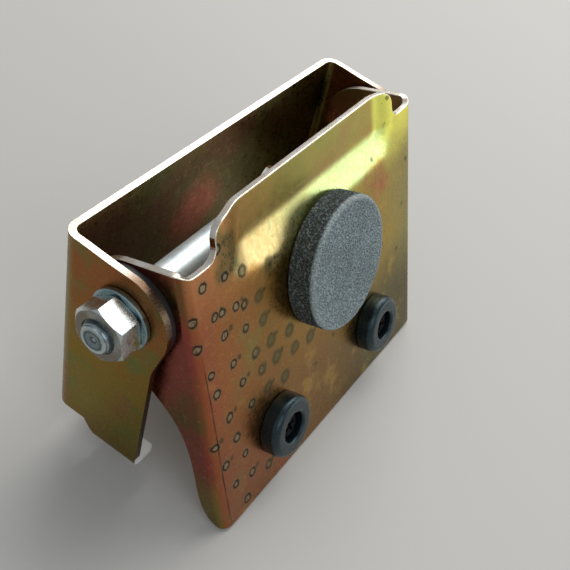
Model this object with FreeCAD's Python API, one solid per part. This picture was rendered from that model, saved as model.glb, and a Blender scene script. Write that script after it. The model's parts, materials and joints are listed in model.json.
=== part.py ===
import FreeCAD, Part
import math
import os

# Hinged buffer bracket: a sheet-steel rear bracket with two ears, and a
# sheet-steel front plate with two flanges that swings between the ears on
# a bolt and spacer tube.  The front plate carries a foam pad and two
# rubber buffers.
#
# Row frame (millimetres): +X along the pivot axis, nut on the -X side;
# +Y out of the rear mounting face; +Z up along the rear wall.
# Origin: on the rear mounting face, at mid width, level with the pivot.
#
# Everything is first drawn about the pivot axis (pivot = 0, 0) and then
# moved back by REAR_Y.  The front plate is drawn upright and turned by
# OPEN_DEG about the pivot to its rest position.

# ---------------------------------------------------------------- sizes
T = 1.8                 # sheet thickness of both brackets
OPEN_DEG = 18.7         # angle between front plate and rear wall at rest

# rear bracket
REAR_Y = 19.0           # pivot axis to rear mounting face
EAR_GAP = 1.8           # flange outer face to ear inner face
LOBE_R = 12.5           # ear end round the pivot
WALL_TOP = 13.6         # top edge of the rear wall
REAR_BEND = 4.0         # outer bend radius, wall to ear
EAR_FRONT_Y = -9.4      # front edge of the ear below the lobe
EAR_LOW_Z = -51.2       # lower end of the ear
WALL_LOW_Z = -45.8      # lower edge of the ear at the rear
LIP_IN_X = 48.6         # inner end of the foot lips
LIP_BACK_Y = 6.2        # rear end of the foot lips
TONGUE_X = 34.0         # half width of the rear wall's lower tongue
HOLE_DX = 60.0          # mounting hole spacing across
HOLE_DZ = 30.0          # mounting hole spacing up and down
HOLE_ZC = -32.0         # height of the middle of the hole pattern
HOLE_R = 3.3            # M6 clearance

# front plate
PLATE_Y = -16.0         # front face, from the pivot axis
PLATE_X = 52.5          # half width over the flanges
PLATE_BEND = 3.0        # outer bend radius, face to flange
PLATE_LOW = -66.5       # lower edge
TAB_TOP = 18.9          # upper edge of the tab
TAB_X = 40.4            # half width of the tab between the notches
NOTCH_Z = 10.6          # bottom of the notches
FLANGE_TOP = 12.6       # top edge of the flanges, and their lobe radius
RECESS = 2.4            # depth of the drawn recess in the tab
REC_L0, REC_L1 = -37.0, -28.5   # recess left rim and floor edge
REC_R0, REC_R1 = 40.2, 33.0     # recess right rim and floor edge
REC_Z0, REC_Z1 = -0.4, 8.0      # recess lower rim and floor edge
REC_BLEND = 9.0         # blend radius along the recess

# pivot
TUBE_R, TUBE_BORE = 5.0, 4.1
BUSH_BORE, BUSH_R = 5.05, 6.0
BUSH_FLANGE_R, BUSH_FLANGE_T = 12.1, 1.7
BUSH_IN = 1.0           # barrel past the flange's inner face
BOLT_R = 4.0
BOLT_LEN = 123.5
NUT_AF, NUT_H = 13.0, 6.5
HEAD_H = 5.3
WASHER_R, WASHER_T, WASHER_BORE = 8.0, 1.6, 4.2
NUT_TURN = 22.5         # angle of the nut's first corner
HEAD_TURN = 8.0

# pads on the front plate
PAD_X, PAD_Z, PAD_R, PAD_T = 2.3, -13.3, 18.3, 7.4
GLUE_R, GLUE_T = 17.9, 0.2
BUF_X, BUF_Z, BUF_R, BUF_H = 25.1, -49.6, 8.75, 5.2
BUF_HOLE_R, BUF_FLOOR = 4.25, 1.0
SCREW_R, SCREW_LEN = 2.0, 10.0
SCREW_HOLE_R = 2.2

EAR_IN = PLATE_X + EAR_GAP
EAR_OUT = EAR_IN + T
V = FreeCAD.Vector


# -------------------------------------------------------------- helpers
def box(x0, x1, y0, y1, z0, z1):
    return Part.makeBox(x1 - x0, y1 - y0, z1 - z0, V(x0, y0, z0))


def cyl(r, a, b, axis, at=(0, 0)):
    """Cylinder from a to b along 'x' or 'y', through at = (y, z) or (x, z)."""
    if axis == "x":
        return Part.makeCylinder(r, b - a, V(a, at[0], at[1]), V(1, 0, 0))
    return Part.makeCylinder(r, b - a, V(at[0], a, at[1]), V(0, 1, 0))


def prism_yz(pts, x0, x1):
    """Outline in Y, Z extruded along X.  An entry ('arc', mid, end) is an arc."""
    return prism(pts, lambda p: V(x0, p[0], p[1]), V(x1 - x0, 0, 0))


def prism_xz(pts, y0, y1):
    return prism(pts, lambda p: V(p[0], y0, p[1]), V(0, y1 - y0, 0))


def prism(pts, place, along):
    edges = []
    here = pts[0]
    for p in pts[1:] + [pts[0]]:
        if p[0] == "arc":
            edges.append(Part.Arc(place(here), place(p[1]), place(p[2])).toShape())
            here = p[2]
        elif p[0] == "spline":
            curve = Part.BSplineCurve()
            curve.interpolate([place(here)] + [place(q) for q in p[1]])
            edges.append(curve.toShape())
            here = p[1][-1]
        else:
            if math.dist(here, p) > 1e-6:
                edges.append(Part.makeLine(place(here), place(p)))
            here = p
    return Part.Face(Part.Wire(edges)).extrude(along)


def polar(r, deg):
    return (r * math.cos(math.radians(deg)), r * math.sin(math.radians(deg)))


def fillet_where(shape, radius, test):
    edges = [e for e in shape.Edges if test(e)]
    return shape.makeFillet(radius, edges) if edges else shape


def on_line(edge, **at):
    """True for an edge whose both ends lie at the coordinates given."""
    for v in edge.Vertexes:
        for k, want in at.items():
            if abs(getattr(v, k.upper()) - want) > 1e-4:
                return False
    return len(edge.Vertexes) == 2


def hexagon(af, h, x0, turn, chamfer=0.35, both=True):
    """Hexagon along +X from x0, corners cut by a 30 degree cone."""
    r = af / math.sqrt(3)
    pts = [polar(r, turn + 60 * k) for k in range(6)]
    body = prism_yz(pts, x0, x0 + h)
    rc = af / 2 * 0.985
    drop = (r - rc) * math.tan(math.radians(30)) + 0.02
    prof = [V(x0, 0, 0), V(x0, rc if both else r + 1, 0)]
    if both:
        prof.append(V(x0 + drop, r + 0.035, 0))
    else:
        prof.append(V(x0 + drop, r + 1, 0))
    prof += [V(x0 + h - drop, r + 0.035, 0), V(x0 + h, rc, 0), V(x0 + h, 0, 0)]
    wire = Part.makePolygon(prof + [prof[0]])
    cone = Part.Face(wire).revolve(V(0, 0, 0), V(1, 0, 0), 360)
    return body.common(cone)


def one(shape, name):
    shape = shape.removeSplitter() if not shape.isNull() else shape
    solids = shape.Solids
    if len(solids) != 1 or not solids[0].isValid():
        raise RuntimeError(f"{name}: {len(solids)} solids, valid {[s.isValid() for s in solids]}")
    return solids[0]


# --------------------------------------------------------- rear bracket
# lowest line of the tilted front plate, so that both brackets stand level
TILT = math.radians(OPEN_DEG)
FLOOR_Z = -(PLATE_Y + T) * math.sin(TILT) + PLATE_LOW * math.cos(TILT)


def rear_bracket():
    outer = box(-EAR_OUT, EAR_OUT, -30, REAR_Y, -80, 40)
    outer = fillet_where(outer, REAR_BEND, lambda e: on_line(e, y=REAR_Y) and e.Length > 119.9 and abs(e.Vertexes[0].X - e.Vertexes[1].X) < 1e-6)
    inner = box(-EAR_IN, EAR_IN, -40, REAR_Y - T, -90, 50)
    inner = fillet_where(inner, REAR_BEND - T, lambda e: on_line(e, y=REAR_Y - T) and e.Length > 139.9 and abs(e.Vertexes[0].X - e.Vertexes[1].X) < 1e-6)
    channel = outer.cut(inner)
    # ear outline: lobe round the pivot, straight front edge, stepped foot
    a0, a1 = polar(LOBE_R, 90), polar(LOBE_R, 200)
    side = prism_yz([
        (REAR_Y + 1, WALL_TOP), a0, ("arc", polar(LOBE_R, 145), a1),
        (EAR_FRONT_Y, -12.6), (-8.4, EAR_LOW_Z),
        (6.6, EAR_LOW_Z), (9.2, WALL_LOW_Z), (REAR_Y - T, WALL_LOW_Z),
        (REAR_Y - T, FLOOR_Z), (REAR_Y + 1, FLOOR_Z),
    ], -EAR_OUT - 1, EAR_OUT + 1)
    body = channel.common(side)
    # the wall's lower corners are cut away, which leaves the tongue
    for s in (-1, 1):
        x0, x1 = sorted((s * TONGUE_X, s * (EAR_OUT + 2)))
        body = body.cut(box(x0, x1, 9.0, REAR_Y + 2, -80, WALL_LOW_Z))
    # inside and outside corners of the tongue
    body = fillet_where(body, 5.0, lambda e: abs(e.Length - T) < 1e-3 and abs(e.Vertexes[0].Y - e.Vertexes[-1].Y) > T - 0.1
                        and abs(abs(e.Vertexes[0].X) - TONGUE_X) < 1e-3 and e.Vertexes[0].Z < WALL_LOW_Z + 0.01)
    # foot lips bent inwards from the ears
    for s in (-1, 1):
        x0, x1 = sorted((s * LIP_IN_X, s * EAR_OUT))
        lip = box(x0, x1, -8.4, LIP_BACK_Y, EAR_LOW_Z, EAR_LOW_Z + T)
        lip = fillet_where(lip, 0.8, lambda e: abs(e.Length - T) < 1e-3 and abs(abs(e.Vertexes[0].X) - LIP_IN_X) < 1e-3
                           and abs(e.Vertexes[0].X - e.Vertexes[-1].X) < 1e-6)
        body = body.fuse(lip)
    body = body.removeSplitter()
    body = fillet_where(body, 1.7, lambda e: on_line(e, z=EAR_LOW_Z) and abs(abs(e.Vertexes[0].X) - EAR_OUT) < 1e-3
                        and abs(abs(e.Vertexes[1].X) - EAR_OUT) < 1e-3)
    body = body.cut(cyl(BOLT_R + 0.2, -EAR_OUT - 1, EAR_OUT + 1, "x"))
    for sx in (-1, 1):
        for sz in (-1, 1):
            body = body.cut(cyl(HOLE_R, REAR_Y - T - 1, REAR_Y + 1, "y",
                                (sx * HOLE_DX / 2, HOLE_ZC + sz * HOLE_DZ / 2)))
    return one(body, "rear_bracket")


# ---------------------------------------------------------- front plate
def recess_solid(y0, y1):
    """Flared block with rounded lower corners, open towards +Z."""
    def wire(y, xl, xr, z0, r):
        top = 40.0
        pts = [V(xl, y, top), V(xl, y, z0 + r)]
        c = r * (1 - math.sqrt(0.5))
        a = [V(xl, y, z0 + r), V(xl + c, y, z0 + c), V(xl + r, y, z0)]
        b = [V(xr - r, y, z0), V(xr - c, y, z0 + c), V(xr, y, z0 + r)]
        return Part.Wire([
            Part.makeLine(*pts), Part.Arc(*a).toShape(),
            Part.makeLine(a[2], b[0]), Part.Arc(*b).toShape(),
            Part.makeLine(b[2], V(xr, y, top)), Part.makeLine(V(xr, y, top), V(xl, y, top))])
    # slope per millimetre of depth
    kl = (REC_L1 - REC_L0) / RECESS
    kr = (REC_R0 - REC_R1) / RECESS
    kz = (REC_Z1 - REC_Z0) / RECESS
    def at(d):
        return wire(d[0], REC_L0 + kl * d[1], REC_R0 - kr * d[1], REC_Z0 + kz * d[1], 13.0 - 1.9 * d[1])
    return Part.makeLoft([at(y0), at(y1)], True, True)


def front_plate():
    outer = box(-PLATE_X, PLATE_X, PLATE_Y, 30, -80, 40)
    outer = fillet_where(outer, PLATE_BEND, lambda e: on_line(e, y=PLATE_Y) and e.Length > 119.9 and abs(e.Vertexes[0].X - e.Vertexes[1].X) < 1e-6)
    inner = box(-(PLATE_X - T), PLATE_X - T, PLATE_Y + T, 40, -90, 50)
    inner = fillet_where(inner, PLATE_BEND - T, lambda e: on_line(e, y=PLATE_Y + T) and e.Length > 139.9 and abs(e.Vertexes[0].X - e.Vertexes[1].X) < 1e-6)
    body = outer.cut(inner)
    # tab recess: the sheet is drawn back by RECESS inside the tab.  The
    # front blank is trimmed to the sloped pocket, the rear gets its twin.
    body = body.fuse(recess_solid((PLATE_Y + T - 0.0, 0.0), (PLATE_Y + T + RECESS, RECESS)))
    body = body.cut(recess_solid((PLATE_Y - 0.5, -0.5), (PLATE_Y + RECESS, RECESS)))
    body = body.removeSplitter()

    def along(e, y):
        if abs(e.BoundBox.YMin - y) > 1e-3 or abs(e.BoundBox.YMax - y) > 1e-3:
            return False
        b = e.BoundBox
        return abs(b.XMin) < REC_R0 + 0.5 and abs(b.XMax) < REC_R0 + 0.5 and b.ZMin > REC_Z0 - 0.5 and b.ZMin < 30
    for y in (PLATE_Y, PLATE_Y + RECESS):
        body = fillet_where(body, REC_BLEND, lambda e, y=y: along(e, y))
    # outline seen from the front: tab, notches and rounded lower corners
    k = math.sqrt(0.5)
    rc, rt = 3.4, 4.4

    def upper(s):
        # notch corner, tab side and rounded tab corner, going up
        return [
            (s * (TAB_X + rc), NOTCH_Z),
            ("arc", (s * (TAB_X + rc - rc * k), NOTCH_Z + rc - rc * k), (s * TAB_X, NOTCH_Z + rc)),
            (s * TAB_X, TAB_TOP - rt),
            ("arc", (s * (TAB_X - rt + rt * k), TAB_TOP - rt + rt * k), (s * (TAB_X - rt), TAB_TOP)),
        ]

    left_up = upper(-1)
    outline = [(-(PLATE_X + 1), FLANGE_TOP), (-(PLATE_X - 0.2), FLANGE_TOP), (-(PLATE_X - 2.2), NOTCH_Z + 0.55),
               (-(PLATE_X - 4.6), NOTCH_Z)] + left_up
    # the right side runs the other way round
    outline += [(TAB_X - rt, TAB_TOP),
                ("arc", (TAB_X - rt + rt * k, TAB_TOP - rt + rt * k), (TAB_X, TAB_TOP - rt)),
                (TAB_X, NOTCH_Z + rc),
                ("arc", (TAB_X + rc - rc * k, NOTCH_Z + rc - rc * k), (TAB_X + rc, NOTCH_Z)),
                (PLATE_X - 4.6, NOTCH_Z), (PLATE_X - 2.2, NOTCH_Z + 0.55), (PLATE_X - 0.2, FLANGE_TOP),
                (PLATE_X + 1, FLANGE_TOP), (PLATE_X + 1, PLATE_LOW + 6),
                (PLATE_X, PLATE_LOW + 5), ("arc", (PLATE_X - 5 + 5 * k, PLATE_LOW + 5 - 5 * k), (PLATE_X - 5, PLATE_LOW)),
                (-(PLATE_X - 5), PLATE_LOW), ("arc", (-(PLATE_X - 5 + 5 * k), PLATE_LOW + 5 - 5 * k), (-PLATE_X, PLATE_LOW + 5)),
                (-(PLATE_X + 1), PLATE_LOW + 6)]
    body = body.common(prism_xz(outline, -40, 40))
    # flange outline seen from the side: lobe round the pivot, narrow lower end
    fr = FLANGE_TOP
    side = prism_yz([
        (PLATE_Y - 1, TAB_TOP + 2), (PLATE_Y + T + RECESS + 0.5, TAB_TOP + 2), (PLATE_Y + T + RECESS + 0.5, fr),
        (0, fr), ("arc", polar(fr, 45), (fr, 0)), (fr, -7.0), (9.4, -13.2),
        (0.2, -24.0), ("spline", [(-3.7, -28.6), (-6.9, -34.4), (-8.5, -41.5), (-8.7, -49.0)]),
        (-8.8, -55.0), ("spline", [(-9.5, -60.2), (-11.6, -64.2), (-15.2, -66.3), (PLATE_Y - 1, PLATE_LOW - 0.1)]),
    ], -PLATE_X - 2, PLATE_X + 2)
    # between the flanges the face keeps its square-cut lower edge
    web = box(-(PLATE_X - T), PLATE_X - T, PLATE_Y - 1, PLATE_Y + T + RECESS + 0.5, PLATE_LOW - 1, TAB_TOP + 2)
    body = body.common(side.fuse(web))
    body = body.cut(cyl(BUSH_R, -PLATE_X - 1, PLATE_X + 1, "x"))
    for s in (-1, 1):
        body = body.cut(cyl(SCREW_HOLE_R, PLATE_Y - 1, PLATE_Y + T + 1, "y", (s * BUF_X, BUF_Z)))
    return one(body, "front_plate")


# ------------------------------------------------------- pivot hardware
def pivot_tube():
    tube = cyl(TUBE_R, -EAR_IN, EAR_IN, "x").cut(cyl(TUBE_BORE, -EAR_IN - 1, EAR_IN + 1, "x"))
    return one(tube, "pivot_tube")


def pivot_bush(s):
    """Plain bush with a broad flange: barrel in the plate's hole, flange in the gap."""
    a, b = PLATE_X - T - BUSH_IN, PLATE_X
    flange = cyl(BUSH_FLANGE_R, b, b + BUSH_FLANGE_T, "x")
    bush = cyl(BUSH_R, a, b + 0.01, "x").fuse(flange).cut(cyl(BUSH_BORE, a - 1, b + BUSH_FLANGE_T + 1, "x"))
    bush = one(bush, "pivot_bush")
    return bush if s > 0 else bush.mirror(V(0, 0, 0), V(1, 0, 0))


def washer(x0, x1):
    ring = cyl(WASHER_R, x0, x1, "x").cut(cyl(WASHER_BORE, x0 - 1, x1 + 1, "x"))
    ring = ring.makeChamfer(0.25, [e for e in ring.Edges if abs(e.Length - 2 * math.pi * WASHER_R) < 1e-3])
    return one(ring, "washer")


def pivot_nut():
    x0 = -EAR_OUT - WASHER_T
    nut = hexagon(NUT_AF, NUT_H, x0 - NUT_H, NUT_TURN)
    nut = nut.cut(cyl(BOLT_R, x0 - NUT_H - 1, x0 + 1, "x"))
    for a, b in ((x0 - NUT_H, x0 - NUT_H + 0.5), (x0 - 0.5, x0)):
        r0, r1 = (BOLT_R + 0.5, BOLT_R) if a < x0 - 1 else (BOLT_R, BOLT_R + 0.5)
        nut = nut.cut(Part.makeCone(r0, r1, 0.5, V(a, 0, 0), V(1, 0, 0)))
    return one(nut, "pivot_nut")


def pivot_bolt():
    seat = EAR_OUT + WASHER_T
    tip = seat - BOLT_LEN
    head = hexagon(NUT_AF, HEAD_H, seat, HEAD_TURN)
    # thread crests and roots on the free end, plain shank elsewhere
    nut_face = -EAR_OUT - WASHER_T - NUT_H
    root = BOLT_R - 0.62
    prof = [V(seat, 0, 0), V(seat, BOLT_R, 0)]
    x = nut_face + 0.1
    prof.append(V(x, BOLT_R, 0))
    while x - 1.25 > tip + 0.9:
        prof += [V(x - 0.50, root, 0), V(x - 0.66, root, 0), V(x - 1.16, BOLT_R, 0), V(x - 1.25, BOLT_R, 0)]
        x -= 1.25
    prof += [V(tip + 0.75, BOLT_R - 0.06, 0), V(tip, root + 0.02, 0), V(tip, 1.25, 0), V(tip + 0.75, 0, 0)]
    shank = Part.Face(Part.makePolygon(prof + [prof[0]])).revolve(V(0, 0, 0), V(1, 0, 0), 360)
    return one(shank.fuse(head), "pivot_bolt")


# ------------------------------------------------------------ pad parts
def foam_pad():
    y1 = PLATE_Y - GLUE_T
    pad = cyl(PAD_R, y1 - PAD_T, y1, "y", (PAD_X, PAD_Z))
    pad = fillet_where(pad, 0.8, lambda e: abs(e.BoundBox.YMax - (y1 - PAD_T)) < 1e-3)
    return one(pad, "foam_pad")


def pad_adhesive():
    return one(cyl(GLUE_R, PLATE_Y - GLUE_T, PLATE_Y, "y", (PAD_X, PAD_Z)), "pad_adhesive")


def buffer_ring(s):
    """Rubber ring, turned: rounded rim, deep hole, thin floor under the insert."""
    r, h, ri, f = BUF_R, BUF_H, BUF_HOLE_R, BUF_FLOOR
    k = math.sqrt(0.5)
    ro, rr = 1.9, 0.7
    pts = [(SCREW_HOLE_R, 0), (r - 0.3, 0), (r, 0.5), (r, h - ro)]
    e = [Part.makeLine(V(pts[i][0], pts[i][1], 0), V(pts[i + 1][0], pts[i + 1][1], 0)) for i in range(3)]
    e.append(Part.Arc(V(r, h - ro, 0), V(r - ro + ro * k, h - ro + ro * k, 0), V(r - ro, h, 0)).toShape())
    e.append(Part.makeLine(V(r - ro, h, 0), V(ri + rr, h, 0)))
    e.append(Part.Arc(V(ri + rr, h, 0), V(ri + rr - rr * k, h - rr + rr * k, 0), V(ri, h - rr, 0)).toShape())
    e.append(Part.makeLine(V(ri, h - rr, 0), V(ri, f, 0)))
    e.append(Part.makeLine(V(ri, f, 0), V(SCREW_HOLE_R, f, 0)))
    e.append(Part.makeLine(V(SCREW_HOLE_R, f, 0), V(SCREW_HOLE_R, 0, 0)))
    ring = Part.Face(Part.Wire(e)).revolve(V(0, 0, 0), V(0, 1, 0), 360)
    ring.rotate(V(0, 0, 0), V(1, 0, 0), 180)
    ring.translate(V(s * BUF_X, PLATE_Y, BUF_Z))
    return one(ring, "buffer")


def buffer_insert(s):
    y1 = PLATE_Y - BUF_FLOOR
    c = (s * BUF_X, BUF_Z)
    return one(cyl(BUF_HOLE_R - 0.05, y1 - 0.8, y1, "y", c).cut(cyl(SCREW_HOLE_R, y1 - 2, y1 + 1, "y", c)), "insert")


def buffer_screw(s):
    seat = PLATE_Y - BUF_FLOOR - 0.8
    c = (s * BUF_X, BUF_Z)
    head = cyl(3.6, seat - 1.7, seat, "y", c)
    head = fillet_where(head, 0.9, lambda e: abs(e.BoundBox.YMax - (seat - 1.7)) < 1e-3)
    for i in range(2):
        slot = box(-2.1, 2.1, seat - 1.8, seat - 0.75, -0.4, 0.4)
        slot.rotate(V(0, 0, 0), V(0, 1, 0), 90 * i + 20 * s)
        slot.translate(V(c[0], 0, c[1]))
        head = head.cut(slot)
    shank = cyl(SCREW_R, seat - 0.5, seat + SCREW_LEN, "y", c)
    shank = shank.makeChamfer(0.4, [e for e in shank.Edges if abs(e.BoundBox.YMin - (seat + SCREW_LEN)) < 1e-3])
    return one(head.fuse(shank), "buffer_screw")


def buffer_washer(s):
    y0 = PLATE_Y + T
    c = (s * BUF_X, BUF_Z)
    return one(cyl(4.5, y0, y0 + 0.8, "y", c).cut(cyl(SCREW_HOLE_R, y0 - 1, y0 + 2, "y", c)), "buffer_washer")


def buffer_nut(s):
    y0 = PLATE_Y + T + 0.8
    nut = hexagon(7.0, 3.2, 0, 15.0)
    nut.rotate(V(0, 0, 0), V(0, 0, 1), 90)      # +X to +Y
    nut.translate(V(s * BUF_X, y0, BUF_Z))
    return one(nut.cut(cyl(SCREW_R, y0 - 1, y0 + 5, "y", (s * BUF_X, BUF_Z))), "buffer_nut")


# -------------------------------------------------------------- assembly
fixed = {
    "rear_bracket": rear_bracket(),
    "pivot_tube": pivot_tube(),
    "pivot_bolt": pivot_bolt(),
    "pivot_nut": pivot_nut(),
    "nut_washer": washer(-EAR_OUT - WASHER_T, -EAR_OUT),
    "head_washer": washer(EAR_OUT, EAR_OUT + WASHER_T),
}
swinging = {
    "front_plate": front_plate(),
    "pivot_bush_left": pivot_bush(-1),
    "pivot_bush_right": pivot_bush(1),
    "foam_pad": foam_pad(),
    "pad_adhesive": pad_adhesive(),
}
for label, s in (("left", -1), ("right", 1)):
    swinging[f"buffer_{label}"] = buffer_ring(s)
    swinging[f"buffer_insert_{label}"] = buffer_insert(s)
    swinging[f"buffer_screw_{label}"] = buffer_screw(s)
    swinging[f"buffer_washer_{label}"] = buffer_washer(s)
    swinging[f"buffer_nut_{label}"] = buffer_nut(s)

os.makedirs("parts", exist_ok=True)
for name, shape in list(fixed.items()) + list(swinging.items()):
    shape = shape.copy()
    if name in swinging:
        shape.rotate(V(0, 0, 0), V(1, 0, 0), -OPEN_DEG)
    shape.translate(V(0, -REAR_Y, 0))
    shape.exportStep(f"parts/{name}.step")
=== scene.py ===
import json
import math

import bmesh
import bpy
from mathutils import Matrix, Quaternion, Vector, noise
from mathutils.geometry import delaunay_2d_cdt

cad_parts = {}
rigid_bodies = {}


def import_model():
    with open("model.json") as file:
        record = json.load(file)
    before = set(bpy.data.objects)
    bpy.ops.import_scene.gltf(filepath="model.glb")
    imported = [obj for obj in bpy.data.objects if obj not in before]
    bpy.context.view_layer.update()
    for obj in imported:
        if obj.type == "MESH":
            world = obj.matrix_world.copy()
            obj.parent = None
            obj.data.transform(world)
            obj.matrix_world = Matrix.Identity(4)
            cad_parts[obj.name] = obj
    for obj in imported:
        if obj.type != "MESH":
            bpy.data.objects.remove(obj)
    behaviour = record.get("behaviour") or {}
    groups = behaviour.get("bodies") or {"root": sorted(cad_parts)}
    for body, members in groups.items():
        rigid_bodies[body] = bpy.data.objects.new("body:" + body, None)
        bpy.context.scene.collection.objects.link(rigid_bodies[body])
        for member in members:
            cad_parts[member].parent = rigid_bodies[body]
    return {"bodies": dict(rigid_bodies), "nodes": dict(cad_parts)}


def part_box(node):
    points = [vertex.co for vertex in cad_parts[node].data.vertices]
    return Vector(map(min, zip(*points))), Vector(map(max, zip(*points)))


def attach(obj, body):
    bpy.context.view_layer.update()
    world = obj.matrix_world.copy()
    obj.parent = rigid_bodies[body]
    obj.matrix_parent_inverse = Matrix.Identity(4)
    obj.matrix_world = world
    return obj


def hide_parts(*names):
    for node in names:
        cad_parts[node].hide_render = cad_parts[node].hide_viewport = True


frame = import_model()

BODIES, NODES = frame["bodies"], frame["nodes"]
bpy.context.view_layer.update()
MM = 0.001
PIVOT = Vector((0, -0.019, 0))
OPEN = math.radians(18.7)
C, S = math.cos(OPEN), math.sin(OPEN)
# plate frame: plate upright, origin on the pivot, Y rearward, Z up along the plate
TO_ROW = Matrix.Translation(PIVOT) @ Matrix.Rotation(-OPEN, 4, "X")
TO_PLATE = TO_ROW.inverted()


def lin(r, g, b):
    """sRGB 0-255 to a linear colour."""
    def f(c):
        c /= 255
        return c / 12.92 if c <= 0.04045 else ((c + 0.055) / 1.055) ** 2.4
    return (f(r), f(g), f(b), 1.0)


# ------------------------------------------------------------ node helpers
class Net:
    """Short forms for building a material's node tree."""

    def __init__(self, name):
        self.mat = bpy.data.materials.new(name)
        self.mat.use_nodes = True
        self.t = self.mat.node_tree
        self.t.nodes.clear()
        self.out = self.t.nodes.new("ShaderNodeOutputMaterial")
        self.bsdf = self.t.nodes.new("ShaderNodeBsdfPrincipled")
        self.t.links.new(self.bsdf.outputs[0], self.out.inputs[0])
        self.tc = self.t.nodes.new("ShaderNodeTexCoord")
        self.pos = self.tc.outputs["Object"]

    def put(self, socket, v):
        if hasattr(v, "is_output"):
            self.t.links.new(v, socket)
        else:
            socket.default_value = v

    def math(self, op, a, b=0.0, c=None, clamp=False):
        n = self.t.nodes.new("ShaderNodeMath")
        n.operation = op
        n.use_clamp = clamp
        self.put(n.inputs[0], a)
        self.put(n.inputs[1], b)
        if c is not None:
            self.put(n.inputs[2], c)
        return n.outputs[0]

    def vec(self, op, a, b=(0, 0, 0), out=0, scale=None):
        n = self.t.nodes.new("ShaderNodeVectorMath")
        n.operation = op
        self.put(n.inputs[0], a)
        if op != "SCALE" and op != "LENGTH":
            self.put(n.inputs[1], b)
        if scale is not None:
            self.put(n.inputs["Scale"], scale)
        return n.outputs[out]

    def sep(self, v):
        n = self.t.nodes.new("ShaderNodeSeparateXYZ")
        self.put(n.inputs[0], v)
        return n.outputs

    def comb(self, x, y, z):
        n = self.t.nodes.new("ShaderNodeCombineXYZ")
        for i, v in enumerate((x, y, z)):
            self.put(n.inputs[i], v)
        return n.outputs[0]

    def plate_pos(self):
        """Object position in the plate frame, in metres."""
        n = self.t.nodes.new("ShaderNodeMapping")
        n.vector_type = "POINT"
        self.put(n.inputs["Vector"], self.pos)
        n.inputs["Rotation"].default_value = (OPEN, 0, 0)
        n.inputs["Location"].default_value = tuple(TO_PLATE.translation)
        return n.outputs[0]

    def noise(self, scale, detail=2.0, rough=0.5, vec=None, out=0, distortion=0.0):
        n = self.t.nodes.new("ShaderNodeTexNoise")
        self.put(n.inputs["Vector"], self.pos if vec is None else vec)
        n.inputs["Scale"].default_value = scale
        n.inputs["Detail"].default_value = detail
        n.inputs["Roughness"].default_value = rough
        n.inputs["Distortion"].default_value = distortion
        return n.outputs[out]

    def voronoi(self, scale, vec=None, feature="F1", out=0, rand=1.0):
        n = self.t.nodes.new("ShaderNodeTexVoronoi")
        n.feature = feature
        self.put(n.inputs["Vector"], self.pos if vec is None else vec)
        n.inputs["Scale"].default_value = scale
        n.inputs["Randomness"].default_value = rand
        return n.outputs[out]

    def band(self, v, lo, hi, a=0.0, b=1.0, smooth=True):
        """v mapped from lo..hi to a..b, clamped."""
        n = self.t.nodes.new("ShaderNodeMapRange")
        n.interpolation_type = "SMOOTHSTEP" if smooth else "LINEAR"
        n.clamp = True
        self.put(n.inputs["Value"], v)
        for k, x in (("From Min", lo), ("From Max", hi), ("To Min", a), ("To Max", b)):
            self.put(n.inputs[k], x)
        return n.outputs["Result"]

    def mix(self, fac, a, b, mode="MIX"):
        n = self.t.nodes.new("ShaderNodeMix")
        n.data_type = "RGBA"
        n.blend_type = mode
        n.clamp_factor = True
        self.put(n.inputs[0], fac)
        self.put(n.inputs[6], a)
        self.put(n.inputs[7], b)
        return n.outputs[2]

    def ramp(self, fac, stops):
        n = self.t.nodes.new("ShaderNodeValToRGB")
        self.put(n.inputs[0], fac)
        el = n.color_ramp.elements
        while len(el) > 1:
            el.remove(el[-1])
        el[0].position, el[0].color = stops[0]
        for p, c in stops[1:]:
            e = el.new(p)
            e.color = c
        return n.outputs[0]

    def bump(self, height, strength=0.3, dist=0.0001, normal=None):
        n = self.t.nodes.new("ShaderNodeBump")
        n.inputs["Strength"].default_value = strength
        n.inputs["Distance"].default_value = dist
        self.put(n.inputs["Height"], height)
        if normal is not None:
            self.put(n.inputs["Normal"], normal)
        return n.outputs[0]

    def set(self, **k):
        for name, v in k.items():
            self.put(self.bsdf.inputs[name.replace("_", " ")], v)
        return self.mat


# -------------------------------------------------------------- materials
RINGS = [(-40.4, 13.0), (-46.7, 6.8), (-38.9, 5.2), (-32.4, 2.6), (-22.4, -1.2), (-51.0, 0.1), (-44.1, -2.6),
         (-41.6, -3.1), (-36.4, -4.5), (-33.4, -6.0), (-27.8, -7.2), (-50.9, -7.3), (-41.7, -9.4), (-33.9, -12.6),
         (-26.9, -14.4), (-48.2, -16.6), (-39.9, -19.0), (-31.4, -21.7), (-24.7, -22.4), (-16.7, -24.8),
         (-7.4, -33.0), (-47.3, -22.9), (-37.5, -26.4), (-29.7, -28.3), (-23.1, -28.9), (-14.9, -31.6),
         (-44.1, -32.7), (-42.5, -40.7), (-47.9, -45.6), (-40.1, -48.2), (-50.5, -37.5), (-35.2, -35.2),
         (-27.9, -35.6), (-45.3, -54.5), (-38.5, -56.4), (-41.8, -63.0), (-31.5, -59.8), (-20.3, -37.5)]
SPOTS = [(34.5, 9.0), (27.0, 2.0), (43.5, -20.0), (40.0, -34.0), (12.0, -36.0), (46.0, -6.0), (30.5, -27.5),
         (1.5, -41.0), (-8.0, -44.5), (36.0, 16.5)]


def grain(n, pos):
    """Fine satin grain of plated sheet: a height for bump and a factor for roughness."""
    fine = n.noise(5200, 2, 0.6, pos)
    mid = n.noise(900, 3, 0.55, pos)
    broad = n.noise(60, 3, 0.5, pos)
    h = n.math("ADD", n.math("MULTIPLY", fine, 0.5), n.math("MULTIPLY", mid, 0.9))
    return h, fine, mid, broad


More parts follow.
